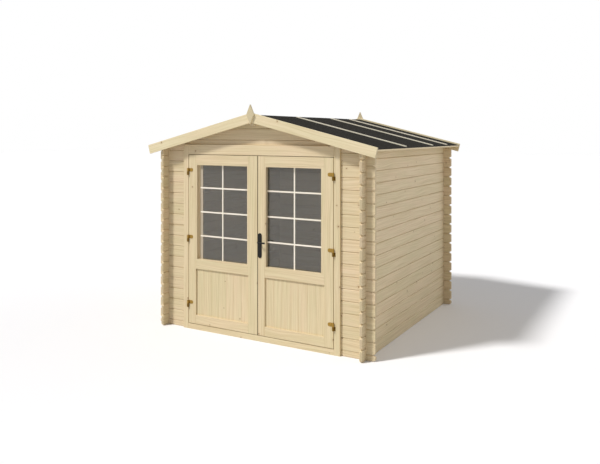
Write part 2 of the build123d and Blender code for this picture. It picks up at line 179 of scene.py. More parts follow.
class ShedColours(PropertyGroup):
    """Colours of the shed's materials."""

    log_light: colour("Log, early wood", "Pale bands of the wall logs", "#E2D0AE")
    log_dark: colour("Log, late wood", "Dark bands of the wall logs", "#D1BD97")
    door_light: colour("Door, early wood", "Pale bands of the door timber", "#E3D2AE")
    door_dark: colour("Door, late wood", "Dark bands of the door timber", "#D4C099")
    trim_light: colour("Trim, early wood", "Pale bands of the roof's trim", "#EADBB8")
    trim_dark: colour("Trim, late wood", "Dark bands of the roof's trim", "#DAC9A2")
    floor_light: colour("Floor, early wood", "Pale bands of the floor boards", "#DCC8A0")
    floor_dark: colour("Floor, late wood", "Dark bands of the floor boards", "#C4AC80")
    bar_light: colour("Glazing bars, early wood", "Pale bands of the glazing bars", "#FBF4E6")
    bar_dark: colour("Glazing bars, late wood", "Dark bands of the glazing bars", "#F3E9D6")
    # The glazing strip's colours are the glazing bars' cream darkened: painted shade for a strip in the shade
    # of the reveal.
    strip_light: colour("Glazing strip, early wood", "Pale bands of the strip beside the glass", "#C4B7A3")
    strip_dark: colour("Glazing strip, late wood", "Dark bands of the strip beside the glass", "#B8AA95")
    batten_light: colour("Batten, early wood", "Pale bands of the roof battens", "#E3DCC9")
    batten_dark: colour("Batten, late wood", "Dark bands of the roof battens", "#D7CFBA")
    knot: colour("Knot", "Heart of a knot", "#8A6238")
    felt: colour("Felt", "Bitumen between the grit", "#171614")
    felt_grit: colour("Felt grit", "Mineral grit on the felt", "#272520")
    brass: colour("Brass", "Hinge straps, screws and nails", "#B08E48")
    # The lower knuckles' brass is darkened: painted shade.
    pin_brass_painted_shade: colour("Pin brass", "Lower knuckles of the hinges, darker with oil", "#84672E")
    handle: colour("Handle", "Powder coat of the handle", "#151513")
    # The seal's near-black is a rubber seal's own colour and also painted shade for the gap between the
    # leaves.
    seal: colour("Seal", "Rubber seal between the leaves", "#3A2C1C")
    glass: colour("Glass", "Tint of the glass", "#DCD9D0")
    floor: colour("Stage floor", "Floor under the shed", "#FBFBFE")
    floor_bounce: colour("Stage floor, bounce", "Floor as it lights the shed", "#DADADA")


# Shapes

# Smallest rounding, and the height at which the tip of a gable log is cut off
least_radius = 0.0002
least_tip = least_radius * 5
# Step within which points are merged, and the nudge that tells the two stations at one place apart
weld_step = 1e-7
edge_nudge = 1e-6
# Metres of grain from which a timber takes its stretch, and how far its pith may lie from its middle
grain_span, pith_reach = 40, 0.06
quarter_turns = np.linspace(0, pi / 2, 4)
# Edges that turn by more than these angles are shaded as sharp, on boards and on turned fittings
board_sharp = radians(9)
turned_sharp = radians(40)


def rectangle(left, foot, right, head):
    """Corners of a rectangle, in turn from its lower left."""
    return [(left, foot), (right, foot), (right, head), (left, head)]


def rounded_rings(corners, radius, insets, arc_steps):
    """Outline with rounded corners, once for each inset.

    Each edge moves inwards by the inset, so a corner moves along its bisector. At a corner the outline
    follows the arc that touches both edges: from the arc's centre, a spoke that turns from the one edge's
    normal to the other's. The radius of an outer corner shrinks with the inset."""
    corners = np.asarray(corners, float)
    insets = np.asarray(insets, float)
    arriving = corners - np.roll(corners, 1, axis=0)
    arriving /= np.linalg.norm(arriving, axis=1)[:, None]
    leaving = np.roll(arriving, -1, axis=0)
    normal_before = np.stack((-arriving[:, 1], arriving[:, 0]), axis=1)
    normal_after = np.roll(normal_before, -1, axis=0)
    facing = (normal_before * normal_after).sum(axis=1)
    bisector = (normal_before + normal_after) / (1 + facing)[:, None]
    turn = np.arctan2(arriving[:, 0] * leaving[:, 1] - arriving[:, 1] * leaving[:, 0], facing)
    bulge = np.sign(turn)
    moved = corners + insets[:, None, None] * bisector
    radii = np.broadcast_to(radius, len(corners)) - bulge * insets[:, None]
    radii = np.maximum(radii, least_radius) * bulge
    centre = moved + radii[..., None] * bisector
    angle = np.arctan2(normal_before[:, 1], normal_before[:, 0])[:, None]
    angle = angle + turn[:, None] * np.linspace(0, 1, arc_steps)
    spoke = np.stack((np.cos(angle), np.sin(angle)), axis=-1)
    rings = centre[:, :, None, :] - radii[:, :, None, None] * spoke
    return rings.reshape(len(insets), -1, 2)


def skin(points, grain=None, tone=0.0, end_maps=None):
    """Quads between neighbouring rings of points, with a cap on the first and the last ring.

    points is rings by points by 3, and grain the same with one more point a ring, by 2. end_maps are the
    maps of the two caps. Without a grain all maps are nil. Equal points are merged. A quad that loses a side
    to this becomes a triangle, and one that loses two is dropped."""
    ring_count, size = points.shape[:2]
    if grain is None:
        grain = np.zeros((ring_count, size + 1, 2))
        end_maps = np.zeros((2, size, 2))
    ring, place = np.meshgrid(np.arange(ring_count - 1), np.arange(size), indexing="ij")
    rings = np.stack((ring, ring, ring + 1, ring + 1), axis=-1).reshape(-1, 4)
    places = np.stack((place, place + 1, place + 1, place), axis=-1).reshape(-1, 4)
    maps = grain[rings, places]
    flat = points.reshape(-1, 3)
    keys = np.round(flat / weld_step).astype(np.int64)
    _, first, back = np.unique(keys, axis=0, return_index=True, return_inverse=True)
    back = back.ravel()
    quads = back[rings * size + places % size]
    lost = quads == np.roll(quads, -1, axis=1)
    whole = lost.sum(axis=1) == 0
    cut = lost.sum(axis=1) == 1
    part = {
        "points": flat[first],
        "quads": quads[whole],
        "quad_maps": maps[whole],
        "triangles": quads[cut][~lost[cut]].reshape(-1, 3),
        "triangle_maps": maps[cut][~lost[cut]].reshape(-1, 3, 2),
        "caps": [],
        "cap_maps": [],
        "tone": tone,
    }
    for cap, end_map in ((back[:size][::-1], end_maps[0][::-1]), (back[-size:], end_maps[1])):
        kept = cap != np.roll(cap, 1)
        if kept.sum() > 2:
            part["caps"].append(cap[kept])
            part["cap_maps"].append(end_map[kept])
    return part


def bar(corners, radius, along, insets, origin, axes, draw, limits=None, skew=0.0, shrinks=None, arc_steps=3):
    """Timber: a rounded outline carried along a straight line.

    A point is the origin, plus its place along the length axis, plus its two outline coordinates along the
    other two axes. shrinks are the shares of both coordinates that are left at each station, measured from
    the outline's middle. limits are the lowest and highest first coordinates at each station, for notches and
    roof cuts. skew is the slope of the first cut, in lengths along for each length of the second coordinate.
    Each timber draws its own stretch of grain, the place of its pith and its tone."""
    along = np.asarray(along, float)
    rings = rounded_rings(corners, radius, insets, arc_steps)
    lap = np.linalg.norm(np.diff(np.append(rings, rings[:, :1], axis=1), axis=1), axis=-1)
    around = np.insert(np.cumsum(lap.max(axis=0)), 0, 0.0)
    if shrinks is not None:
        middle = (np.min(corners, axis=0) + np.max(corners, axis=0)) / 2
        rings = middle + (rings - middle) * shrinks[:, None]
    if limits is not None:
        low, high = limits
        rings[..., 0] = np.clip(rings[..., 0], low[:, None], high[:, None])
    share = ((along - along[0]) / (along[-1] - along[0]))[:, None]
    run = along[:, None] + (1 - share) * (skew * rings[..., 1])
    length_axis, across, up = axes
    points = origin + run[..., None] * length_axis + rings[..., :1] * across + rings[..., 1:] * up
    shift = draw.uniform(0, grain_span, 2)
    run_map = np.append(run, run[:, :1], axis=1) + shift[0]
    around_map = np.broadcast_to(around + shift[1], run_map.shape)
    middle = rings.mean(axis=(0, 1)) + draw.uniform(-pith_reach, pith_reach, 2)
    grain = np.stack((run_map, around_map), axis=-1)
    return skin(points, grain, draw.uniform(-1, 1), (rings[0] - middle, rings[-1] - middle))


def beam(corners, arris, start, end, end_round, axes, draw, origin=frame_origin, skew=0.0):
    """Timber with a quarter round at both ends.

    At each end a quarter circle turns from the end face to the sides: the place along the timber follows one
    less its cosine and the inset of the outline one less its sine, times the rounding."""
    places = end_round * (1 - np.cos(quarter_turns))
    insets = end_round * (1 - np.sin(quarter_turns))
    along = np.concatenate((start + places, (end - places)[::-1]))
    return bar(corners, arris, along, np.append(insets, insets[::-1]), origin, axes, draw, skew=skew)


def board(low, high, run, arris, draw, end_round=None):
    """Straight board between two corners, along the axis of that number, with rounded arrises and ends."""
    across, up = (run + 1) % 3, (run + 2) % 3
    corners = rectangle(low[across], low[up], high[across], high[up])
    axes = np.eye(3)[[run, across, up]]
    return beam(corners, arris, low[run], high[run], arris if end_round is None else end_round, axes, draw)


def lathe(profile, origin, axis, around, steps=24):
    """Turned shape: each profile point is a radius and a height, and the radius turns round the axis."""
    radius, height = np.array(profile).T[..., None, None]
    angle = np.linspace(0, 2 * pi, steps, endpoint=False)
    spokes = np.cos(angle)[:, None] * around + np.sin(angle)[:, None] * np.cross(axis, around)
    return skin(origin + height * axis + radius * spokes)


def piece(name, parts, material, sharp):
    """One mesh object from many parts, with their grain map, tones and end grain as attributes.

    Edges that turn by more than the sharp angle are shaded as sharp, so that flat faces stay flat."""
    starts = np.cumsum([0] + [len(part["points"]) for part in parts])
    quads = np.concatenate([part["quads"] + start for part, start in zip(parts, starts)])
    triangles = np.concatenate([part["triangles"] + start for part, start in zip(parts, starts)])
    caps = [(cap + start).tolist() for part, start in zip(parts, starts) for cap in part["caps"]]
    maps = [part[kind].reshape(-1, 2) for kind in ("quad_maps", "triangle_maps") for part in parts]
    maps += [cap_map for part in parts for cap_map in part["cap_maps"]]
    tones = np.concatenate(
        [np.full(len(part[kind]), part["tone"]) for kind in ("quads", "triangles", "caps") for part in parts]
    )
    ends = np.concatenate((np.zeros(len(quads) + len(triangles)), np.ones(len(caps))))
    mesh = bpy.data.meshes.new(name)
    points = np.concatenate([part["points"] for part in parts])
    mesh.from_pydata(points.tolist(), [], quads.tolist() + triangles.tolist() + caps)
    grain = mesh.uv_layers.new(name="grain")
    grain.uv.foreach_set("vector", np.concatenate(maps).astype(np.float32).ravel())
    for attribute, values in (("board_tone", tones), ("end_grain", ends)):
        layer = mesh.attributes.new(attribute, "FLOAT", "FACE")
        layer.data.foreach_set("value", values.astype(np.float32))
    mesh.polygons.foreach_set("use_smooth", ends < 1)
    mesh.set_sharp_from_angle(angle=sharp)
    mesh.update()
    mesh.materials.append(material)
    obj = bpy.data.objects.new(name, mesh)
    bpy.context.scene.collection.objects.link(obj)
    return obj


def dress(name, parts, material, body, slot, *nodes, sharp=board_sharp):
    """Make a piece, let it ride on a body and hide the nodes that it stands for. The slot is not used."""
    obj = piece(name, parts, material, sharp)
    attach(obj, body)
    if nodes:
        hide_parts(*nodes)


# Materials

# A colour Mix has its colours on sockets 6 and 7 and its result on output 2
colour_mix = {"out": 2, "data_type": "RGBA"}


def add_node(tree, kind, inputs=None, out=0, **settings):
    """Add a shader node with its settings, set or link its inputs, and give one of its outputs."""
    made = tree.nodes.new(f"ShaderNode{kind}")
    for setting, value in settings.items():
        setattr(made, setting, value)
    for key, value in (inputs or {}).items():
        if isinstance(value, NodeSocket):
            tree.links.new(value, made.inputs[key])
        else:
            made.inputs[key].default_value = value
    return made.outputs[out] if made.outputs else None


def shaded(shade, light_share):
    """Colour with a share of its light and full alpha."""
    return (*(channel * light_share for channel in shade[:3]), 1.0)


def planed_spruce(node, light, dark, knot):
    """Planed bare spruce: pale, with soft bands of late wood along the board, fine fibres and small brown
    knots that the bands swerve round. Planing leaves it matt with a faint sheen. Each board has its own tone,
    and its ends show the year rings."""
    # Length and width of each pattern, and the detail and roughness of its noise
    band = (0.7, 0.010, 3.0, 0.55)
    fibre = (0.12, 0.0025, 2.0, 0.5)  # drawn coarser than real fibres, so that they show
    cloud = (0.45, 0.07, 2.0, 0.5)
    ring_width = 0.005
    # Knots in a part of the cells, with a heart and a halo in shares of their reach
    knot_spacing, knot_reach, bare_cell_share = 0.27, 0.0100, 0.2
    heart_share, halo_share = 0.55, 3.4
    heart_stain_share, halo_stain_share = 0.68, 0.22
    sway_length, sway, knot_swerve = 0.625, 0.05, 0.010
    late_from, late_to, fibre_share = 0.36, 0.70, 0.3
    sawn_light_share, sawn_dark_share = 0.86, 0.80
    cloud_from, cloud_to, cloud_drift = 0.3, 0.7, 0.8
    hue_drift, value_drift = -0.006, 0.030
    smooth, rough, fibre_height, fibre_strength = 0.52, 0.68, 0.0006, 0.25

    grain = node("UVMap", uv_map="grain")
    tone = node("Attribute", out="Fac", attribute_name="board_tone")
    end = node("Attribute", out="Fac", attribute_name="end_grain")
    cells = node("TexVoronoi", {"Vector": grain, "Scale": 1 / knot_spacing}, voronoi_dimensions="2D")
    cells = cells.node.outputs
    chance = node("SeparateColor", {"Color": cells["Color"]})
    size_span = {"From Min": bare_cell_share, "To Max": knot_reach / knot_spacing}
    reach = node("MapRange", {"Value": chance, **size_span})
    inner = node("Math", {0: reach, 1: heart_share}, operation="MULTIPLY")
    outer = node("Math", {0: reach, 1: halo_share}, operation="MULTIPLY")
    fade = {"Value": cells["Distance"], "To Min": 1.0, "To Max": 0.0}
    heart = node("MapRange", {**fade, "From Min": inner, "From Max": reach})
    halo = node("MapRange", {**fade, "From Max": outer}, interpolation_type="SMOOTHSTEP")

    noise = {"Vector": grain, "Scale": 1 / sway_length, "Detail": 1.0}
    waves = node("TexNoise", noise, noise_dimensions="2D")
    swerve = node("Math", {0: halo, 1: knot_swerve}, operation="MULTIPLY")
    bend = node("Math", {0: waves, 1: sway, 2: swerve}, operation="MULTIPLY_ADD")
    bent = node("VectorMath", {0: grain, 1: node("CombineXYZ", {"Y": bend})}, operation="ADD")
    patterns = []
    for long, wide, detail, roughness in (band, fibre, cloud):
        place = node("Mapping", {"Vector": bent, "Scale": (1 / long, 1 / wide, 1.0)})
        noise = {"Vector": place, "Scale": 1.0, "Detail": detail, "Roughness": roughness}
        patterns.append(node("TexNoise", noise, noise_dimensions="2D"))
    bands, fibres, clouds = patterns

    late = node("MapRange", {"Value": bands, "From Min": late_from, "From Max": late_to})
    late = node("Math", {0: fibres, 1: fibre_share, 2: late}, operation="MULTIPLY_ADD")
    late = node("Math", {0: late, 1: fibre_share / 2}, operation="SUBTRACT", use_clamp=True)
    wood = node("Mix", {0: late, 6: light, 7: dark}, **colour_mix)
    ring = node("VectorMath", {0: grain}, "Value", operation="LENGTH")
    ring = node("Math", {0: ring, 1: 2 * pi / ring_width}, operation="MULTIPLY")
    ring = node("Math", {0: ring}, operation="SINE")
    ring = node("MapRange", {"Value": ring, "From Min": -1.0})
    sawn_light, sawn_dark = shaded(light, sawn_light_share), shaded(dark, sawn_dark_share)
    sawn = node("Mix", {0: ring, 6: sawn_light, 7: sawn_dark}, **colour_mix)
    wood = node("Mix", {0: end, 6: wood, 7: sawn}, **colour_mix)
    side = node("Math", {0: 1.0, 1: end}, operation="SUBTRACT")
    stain = node("Math", {0: halo, 1: halo_stain_share}, operation="MULTIPLY")
    stain = node("Math", {0: heart, 1: heart_stain_share, 2: stain}, operation="MULTIPLY_ADD")
    stain = node("Math", {0: stain, 1: side}, operation="MULTIPLY")
    wood = node("Mix", {0: stain, 6: wood, 7: knot}, **colour_mix)
    cloud_span = {"From Min": cloud_from, "From Max": cloud_to, "To Min": -cloud_drift, "To Max": cloud_drift}
    drift = node("Math", {0: tone, 1: node("MapRange", {"Value": clouds, **cloud_span})}, operation="ADD")
    hue = node("Math", {0: drift, 1: hue_drift, 2: 0.5}, operation="MULTIPLY_ADD")
    value = node("Math", {0: drift, 1: value_drift, 2: 1.0}, operation="MULTIPLY_ADD")
    return {
        "Base Color": node("HueSaturation", {"Hue": hue, "Value": value, "Color": wood}),
        "Roughness": node("MapRange", {"Value": fibres, "To Min": smooth, "To Max": rough}),
        "Normal": node("Bump", {"Strength": fibre_strength, "Distance": fibre_height, "Height": fibres}),
        "Specular IOR Level": 0.3,
    }


def grit_felt(node, bitumen, grit):
    """Bitumen roofing felt, rolled with fine slate grit: nearly black and matt, with a sparkle of paler
    grains and faint lanes from the roll."""
    grit_size = 0.004  # real grit is about 1 mm, drawn coarser so that it shows
    lane_width, lane_share = 0.12, 0.6
    grain_share, dark_share = 0.7, -0.1
    bump_strength, bump_height = 0.5, 0.001
    place = node("TexCoord", out="Object")
    grains = node("TexVoronoi", {"Vector": place, "Scale": 1 / grit_size}).node.outputs
    chance = node("SeparateColor", {"Color": grains["Color"]})
    lanes = node("TexNoise", {"Vector": place, "Scale": 1 / lane_width, "Detail": 3.0})
    pale = node("Math", {0: chance, 1: grain_share, 2: dark_share}, operation="MULTIPLY_ADD")
    pale = node("Math", {0: lanes, 1: lane_share, 2: pale}, operation="MULTIPLY_ADD", use_clamp=True)
    relief = {"Strength": bump_strength, "Distance": bump_height, "Height": grains["Distance"]}
    return {
        "Base Color": node("Mix", {0: pale, 6: bitumen, 7: grit}, **colour_mix),
        "Normal": node("Bump", relief, invert=True),
        "Roughness": 0.95,
        "Specular IOR Level": 0.06,
    }


def passivated_brass(node, metal):
    """Yellow passivated brass, tumbled: warm metal with a soft, slightly cloudy gloss."""
    cloud_size, dull_share = 0.006, 0.72
    smooth, rough = 0.28, 0.48
    place = node("TexCoord", out="Object")
    cloud = node("TexNoise", {"Vector": place, "Scale": 1 / cloud_size, "Detail": 3.0})
    return {
        "Base Color": node("Mix", {0: cloud, 6: metal, 7: shaded(metal, dull_share)}, **colour_mix),
        "Roughness": node("MapRange", {"Value": cloud, "To Min": smooth, "To Max": rough}),
        "Metallic": 1.0,
    }


def powder_coat(node, coat):
    """Black powder coat on cast aluminium: fine orange peel and a satin gloss."""
    peel_size, peel_share = 0.0012, 1.8
    bump_strength, bump_height = 0.2, 0.0002
    place = node("TexCoord", out="Object")
    peel = node("TexNoise", {"Vector": place, "Scale": 1 / peel_size, "Detail": 1.0})
    return {
        "Base Color": node("Mix", {0: peel, 6: coat, 7: shaded(coat, peel_share)}, **colour_mix),
        "Normal": node("Bump", {"Strength": bump_strength, "Distance": bump_height, "Height": peel}),
        "Roughness": 0.5,
        "Specular IOR Level": 0.2,
    }


def epdm_rubber_gap_shade(node, rubber):
    """Extruded EPDM rubber of a door seal: dark brown and dull, and dark enough to paint the shade of the gap
    between the leaves.
    """
    return {"Base Color": rubber, "Roughness": 0.8, "Specular IOR Level": 0.2}


def float_glass(node, tint):
    """Float glass: clear, faintly tinted, with a hard mirror gloss under a thin, even veil of dust."""
    dust_size, dust_rough = 0.25, 0.06
    place = node("TexCoord", out="Object")
    dust = node("TexNoise", {"Vector": place, "Scale": 1 / dust_size, "Detail": 4.0})
    return {
        "Base Color": tint,
        "Roughness": node("MapRange", {"Value": dust, "To Min": 0.0, "To Max": dust_rough}),
        "IOR": 1.5,
        "Transmission Weight": 0.935,
        "Specular IOR Level": 0.2,
    }


def seen_directly(node):
    """Socket that is 1 where the camera sees the stage, also in a mirror or through glass, and 0 where the
    stage lights the shed."""
    path = node("LightPath").node.outputs
    seen = node("Math", {0: path["Is Camera Ray"], 1: path["Is Glossy Ray"]}, operation="MAXIMUM")
    return node("Math", {0: seen, 1: path["Is Transmission Ray"]}, operation="MAXIMUM")


def pale_floor(node, bounce, floor):
    """Matt white studio floor: one shade where it is seen and a darker one where it lights the shed."""
    return {"Color": node("Mix", {0: seen_directly(node), 6: bounce, 7: floor}, **colour_mix)}


def material_of(name, surface, *colours, shader="BsdfPrincipled"):
    """The material of that name. When it is first asked for, a shader gets the inputs that the surface's
    function works out from the colours."""
    material = bpy.data.materials.get(name)
    if material is None:
        material = bpy.data.materials.new(name)
        material.use_nodes = True
        material.node_tree.nodes.clear()
        node = partial(add_node, material.node_tree)
        inputs = surface(node, *((*shade, 1.0) for shade in colours))
        node("OutputMaterial", {"Surface": node(shader, inputs)})
    return material


def timber(context, kind):
    """Spruce for logs, doors, trim, battens, floor, glazing bars or strips."""
    colours = context.scene.shed_colours
    light, dark = (getattr(colours, f"{kind}_{band}") for band in ("light", "dark"))
    return material_of(f"planed_spruce_{kind}", planed_spruce, light, dark, colours.knot)


def brass(context, kind):
    """Brass of the hinge straps, screws and nails, or of the hinge pins, whose brass is darkened as painted
    shade.
    """
    return material_of(f"passivated_{kind}", passivated_brass, getattr(context.scene.shed_colours, kind))


# Walls


def log_stations(sizes, start, end, rounded, bands, breaks, section, height, ceiling):
    """Places along a log, shares of its section there, and the heights between which it is left standing.

    A dressed end slants above and below, and its two sides turn in a quarter circle. The slants take away
    their depth times the share of them that is still ahead. The quarter circles take away their radius times
    one less the root of one less the square of that share. A band is a stretch of the log that is cut away
    below and above two heights, and each of its edges has two stations at one place, so that its walls stand
    square. The ceiling is the roof over the log."""
    steps = np.append(sizes.log_end_round * (1 - np.cos(quarter_turns)), sizes.log_end_run)
    head = start + rounded[0] * steps
    tail = (end - rounded[1] * steps)[::-1]
    edges = np.unique([edge for band in bands for edge in band[:2]] + list(breaks))
    edges = edges[(edges > head[-1]) & (edges < tail[0])]
    middle = np.repeat(edges, 2)
    probes = np.concatenate((head, middle + np.tile((-edge_nudge, edge_nudge), len(edges)), tail))
    ahead = np.clip(1 - steps[:, None] / (sizes.log_end_run, sizes.log_end_round), 0, 1)
    depths = np.array((sizes.log_end_drop / section, sizes.log_end_round / log_thickness)) * 2
    lost = depths * np.stack((ahead[:, 0], 1 - np.sqrt(1 - ahead[:, 1] ** 2)), axis=1)
    shrinks = 1 - np.concatenate((rounded[0] * lost, np.zeros((len(middle), 2)), rounded[1] * lost[::-1]))
    low = np.zeros(len(probes))
    high = np.full(len(probes), height)
    for band_start, band_end, band_low, band_high in bands:
        inside = (probes > band_start) & (probes < band_end)
        low[inside] = np.maximum(low[inside], band_low)
        high[inside] = np.minimum(high[inside], band_high)
    if ceiling is not None:
        high = np.minimum(high, ceiling(probes))
    return np.concatenate((head, middle, tail)), shrinks, (low, np.maximum(high, low))


def log_outline(sizes, height):
    """Section of a log, height first, and the radii of its corners: an upright rectangle with its four
    corners cut off. Its top is lower beside a rib in the middle, which leaves a slot under the next log."""
    chamfer, foot = sizes.log_chamfer, sizes.log_foot_rise
    inner = half_log - chamfer
    rib = inner - sizes.log_slot_depth
    ledge = height - sizes.log_slot
    corners = [
        (foot, -half_log), (height - chamfer, -half_log), (ledge, -inner), (ledge, -rib), (height, -rib),
        (height, rib), (ledge, rib), (ledge, inner), (height - chamfer, half_log), (foot, half_log),
        (0.0, inner), (0.0, -inner),
    ]
    radii = np.full(len(corners), sizes.log_arris)
    radii[3:7] = least_radius
    return corners, radii


def notches(sizes, place, low, high):
    """Bands of a log's two notches, at a place from its middle, with the heights of what is left in them."""
    half = half_log + sizes.notch_play
    return [(end * place - half, end * place + half, low, high) for end in (-1, 1)]


def side_log(sizes, side, row, draw):
    """Log of a side wall, which keeps its middle half where the front and back logs cross it. The top one
    follows the roof."""
    outline, radii = log_outline(sizes, log_rise)
    if row == side_rows - 1:
        rise = log_thickness * tan(sizes.roof_angle)
        left_top, right_top = (log_rise + rise, log_rise)[::side]
        outline[1:-3] = [(left_top, -half_log), (right_top, half_log)]
        radii = sizes.log_arris
    bands = notches(sizes, cross_y, log_rise / 4, log_rise * 3 / 4)
    along, shrinks, limits = log_stations(
        sizes, -log_end_y, log_end_y, (1, 1), bands, [], log_rise, 2 * log_rise, None
    )
    origin = (side * cross_x, 0.0, row * log_rise)
    axes = (y_axis, z_axis, x_axis)
    return bar(outline, radii, along, np.zeros(len(along)), origin, axes, draw, limits, shrinks=shrinks)


def cross_log(sizes, centre_y, row, draw, start=-log_end_x, end=log_end_x, bands=()):
    """Log of the front or back wall. Row -1 is the half log on the ground. The gable logs follow the roof."""
    foot = (row + 0.5) * log_rise if row >= 0 else 0.0
    section = height = log_rise if row >= 0 else log_rise / 2
    slope = tan(sizes.roof_angle)
    notch_low = log_rise / 4 if row >= 0 else 0.0
    bands = [*bands, *notches(sizes, cross_x, notch_low, height - log_rise / 4)]
    outline, radii = log_outline(sizes, height)
    if row == gable_top_row:
        height = apex_z - foot
        outline, radii = log_outline(sizes, height + sizes.log_chamfer)
        seat = purlin_half + sizes.notch_play
        bands.append((-seat, seat, 0.0, purlin_low[2] - foot))
    reach = (apex_z - foot - least_tip) / slope
    rounded = [min(abs(place), reach) > wall_x for place in (start, end)]
    start, end = max(start, -reach), min(end, reach)
    top_reach = (apex_z - foot - height) / slope
    breaks = [-top_reach, top_reach] if top_reach < log_end_x else []

    def ceiling(places):
        return apex_z - foot - np.abs(places) * slope

    along, shrinks, limits = log_stations(sizes, start, end, rounded, bands, breaks, section, height, ceiling)
    origin = (0.0, centre_y, foot)
    axes = (x_axis, z_axis, -y_axis)
    return bar(outline, radii, along, np.zeros(len(along)), origin, axes, draw, limits, shrinks=shrinks)


class SHED_OT_walls(Operator):
    """Lay the logs of the four walls and the front gable"""

    bl_idname = "shed.walls"
    bl_label = "Walls"

    def execute(self, context):
        sizes = context.scene.shed_sizes
        wood = timber(context, "log")
        draw = np.random.default_rng(11)

        def lay(name, logs, *nodes):
            nodes = nodes or [f"{name}_{parity}_logs" for parity in ("even", "odd")]
            dress(name, logs, wood, "shed", "wall_logs", *nodes)

        for name, side in sides.items():
            lay(f"{name}_wall", [side_log(sizes, side, row, draw) for row in range(side_rows)])
        lay("back_wall", [cross_log(sizes, cross_y, row, draw) for row in range(-1, gable_top_row + 1)])
        for name, side in sides.items():
            start, end = sorted((side * short_low[0], side * log_end_x))
            logs = [cross_log(sizes, -cross_y, row, draw, start, end) for row in range(-1, door_rows)]
            lay(f"front_wall_{name}", logs)
        foot = (door_rows + 0.5) * log_rise
        head_top = head_high[2] - foot
        recess = [
            (head_low[0], head_high[0], head_high[2] - sizes.frame_groove - foot, log_rise),
            (-short_low[0], head_low[0], head_top, log_rise),
            (head_high[0], short_low[0], head_top, log_rise),
        ]
        logs = [
            cross_log(sizes, -cross_y, row, draw, bands=recess if row == door_rows else ())
            for row in range(door_rows, gable_top_row + 1)
        ]
        lay("front_gable", logs, *(f"front_gable_log_{place}" for place in range(1, gable_log_count + 1)))
        return {"FINISHED"}


# Doors


def grooved(inner, outer, groove):
    """Section of a frame board from its inner to its outer edge, which has a groove for the log ends."""
    groove_far_y = front_y + log_thickness
    return np.array([
        (inner, frame_front_y), (outer, frame_front_y), (outer, front_y), (outer - groove, front_y),
        (outer - groove, groove_far_y), (outer, groove_far_y), (outer, frame_back_y), (inner, frame_back_y),
    ])


class SHED_OT_door_frame(Operator):
    """Set the jambs, the head and the sill round the doorway"""

    bl_idname = "shed.door_frame"
    bl_label = "Door frame"

    def execute(self, context):
        sizes = context.scene.shed_sizes
        draw = np.random.default_rng(23)
        arris, lip_arris = sizes.board_arris, sizes.log_arris
        opening_x = head_high[0]
        lip_x = opening_x - sizes.stop_width
        stop_y = frame_back_y - sizes.stop_depth
        sill_top = sill_high[2] - sizes.stop_width
        head_foot = head_low[2] + sizes.stop_width
        jamb = grooved(opening_x, jamb_high[0], sizes.frame_groove)
        head = np.roll(grooved(head_foot, head_high[2], sizes.frame_groove)[::-1, ::-1], 1, axis=0)
        parts = []
        for side in sides.values():
            corners = jamb if side > 0 else (jamb * (-1, 1))[::-1]
            parts.append(beam(corners, arris, 0.0, jamb_high[2], arris, (z_axis, x_axis, y_axis), draw))
            low_x, high_x = sorted((side * jamb_low[0], side * opening_x))
            low, high = (low_x, stop_y, sill_top), (high_x, frame_back_y, head_foot)
            parts.append(board(low, high, 2, lip_arris, draw))
        parts.append(beam(head, arris, -opening_x, opening_x, lip_arris, np.eye(3), draw))
        for half_x, near, foot, top, rounding in (
            (lip_x, stop_y, head_low[2], head_foot, lip_arris),
            (opening_x, frame_front_y, 0.0, sill_top, arris),
            (lip_x, stop_y, sill_top, sill_high[2], lip_arris),
        ):
            low, high = (-half_x, near, foot), (half_x, frame_back_y, top)
            parts.append(board(low, high, 0, rounding, draw, lip_arris))
        nodes = ("left_door_jamb", "right_door_jamb", "door_head", "door_sill")
        dress("door_frame", parts, timber(context, "door"), "shed", "door_timber", *nodes)
        return {"FINISHED"}


def leaf_places(sizes, name):
    """Lowest and highest corners of a leaf, of the opening for its panel and of the one for its glass."""
    places = []
    for kind, tongue in (("stiles", 0.0), ("panel", sizes.panel_tongue), ("glass", sizes.glass_tongue)):
        low, high = corners_of(f"{name}_door_{kind}")
        edge = np.array((tongue, 0.0, tongue))
        places += [low + edge, high - edge]
    return places


def dress_leaf(context, name, kind, parts, wood, *nodes):
    """Make a piece of timber that rides on a leaf."""
    dress(f"{name}_{kind}", parts, timber(context, wood), f"{name}_door", "door_timber", *nodes)


